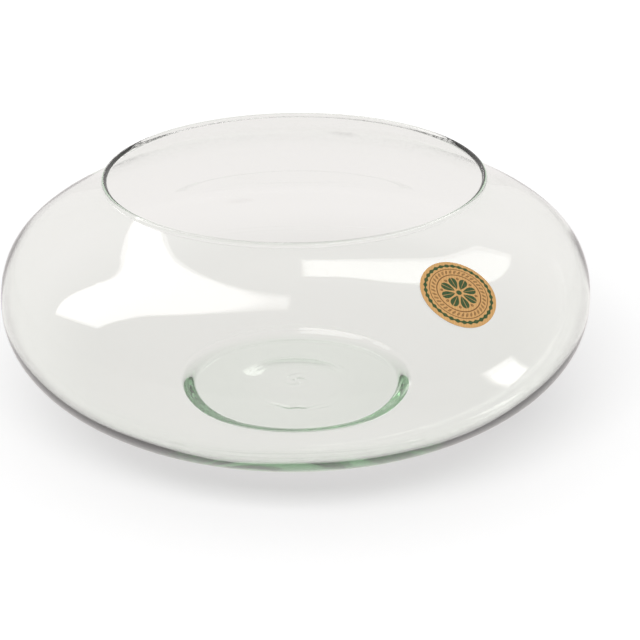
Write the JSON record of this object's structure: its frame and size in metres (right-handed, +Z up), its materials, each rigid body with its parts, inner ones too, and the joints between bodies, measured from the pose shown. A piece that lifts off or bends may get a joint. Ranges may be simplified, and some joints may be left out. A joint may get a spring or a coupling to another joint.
{
  "type": "floating candle bowl",
  "caption": "Low, wide, round bowl of clear, slightly green blown glass with a drawn-in neck, a wide open mouth and a round paper label, for water and floating candles.",
  "frame": {"origin": "centre of the flat ring that the foot stands on", "axes": "+Z up along the bowl's axis, -Y towards the front, so the label is at the front right"},
  "size_m": [0.3, 0.3, 0.124],
  "materials": {
    "green_glass": "clear, fire-polished, with a slight green tint where it is thick",
    "kraft_paper": null,
    "label_adhesive": "clear acrylic adhesive film"
  },
  "bodies": {
    "root": {"glass_bowl": "green_glass", "sticker_paper": "kraft_paper", "sticker_adhesive": "label_adhesive"}
  },
  "joints": []
}
